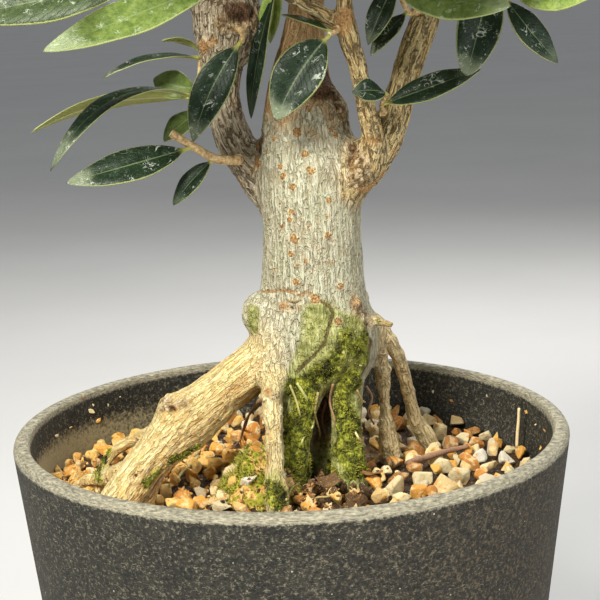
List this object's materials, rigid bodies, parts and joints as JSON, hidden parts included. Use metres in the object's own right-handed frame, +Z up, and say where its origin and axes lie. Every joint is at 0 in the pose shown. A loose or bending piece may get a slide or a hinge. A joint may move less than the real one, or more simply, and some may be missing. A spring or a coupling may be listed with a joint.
{
  "type": "potted olive bonsai",
  "caption": "Small olive tree with exposed roots and a rounded leafy crown, growing in stony grit in a round tapered clay pot.",
  "frame": {"origin": "centre of the pot's underside", "axes": "+Z up, -Y towards the front of the tree, +X to its right as seen from the front"},
  "size_m": [0.202, 0.204, 0.355],
  "materials": {
    "speckled_clay": "matte unglazed clay, dark grey with pale flecks",
    "black_plastic": "moulded mesh",
    "orange_grit": "dusty angular grit, orange, tan and cream",
    "olive_bark": "pale grey-cream bark with fine fissures, moss at the roots",
    "olive_leaf": "leathery leaf, dark glossy green above, pale olive below"
  },
  "bodies": {
    "root": {"pot": "speckled_clay", "drainage_mesh": "black_plastic", "soil": "orange_grit", "tree": "olive_bark", "leafy_shoot_01": "olive_leaf", "leafy_shoot_02": "olive_leaf", "leafy_shoot_03": "olive_leaf", "leafy_shoot_04": "olive_leaf", "leafy_shoot_05": "olive_leaf", "leafy_shoot_06": "olive_leaf", "leafy_shoot_07": "olive_leaf", "leafy_shoot_08": "olive_leaf", "leafy_shoot_09": "olive_leaf", "leafy_shoot_10": "olive_leaf", "leafy_shoot_11": "olive_leaf", "leafy_shoot_12": "olive_leaf", "leafy_shoot_13": "olive_leaf", "leafy_shoot_14": "olive_leaf", "leafy_shoot_15": "olive_leaf", "leafy_shoot_16": "olive_leaf", "leafy_shoot_17": "olive_leaf", "leafy_shoot_18": "olive_leaf", "leafy_shoot_19": "olive_leaf", "leafy_shoot_20": "olive_leaf", "leafy_shoot_21": "olive_leaf", "leafy_shoot_22": "olive_leaf", "leafy_shoot_23": "olive_leaf", "leafy_shoot_24": "olive_leaf", "leafy_shoot_25": "olive_leaf", "leafy_shoot_26": "olive_leaf", "leafy_shoot_27": "olive_leaf", "leafy_shoot_28": "olive_leaf", "leafy_shoot_29": "olive_leaf", "leafy_shoot_30": "olive_leaf", "leafy_shoot_31": "olive_leaf", "leafy_shoot_32": "olive_leaf", "leafy_shoot_33": "olive_leaf", "leafy_shoot_34": "olive_leaf", "leafy_shoot_35": "olive_leaf", "leafy_shoot_36": "olive_leaf", "leafy_shoot_37": "olive_leaf", "leafy_shoot_38": "olive_leaf", "leafy_shoot_39": "olive_leaf", "leafy_shoot_40": "olive_leaf", "leafy_shoot_41": "olive_leaf"}
  },
  "joints": []
}
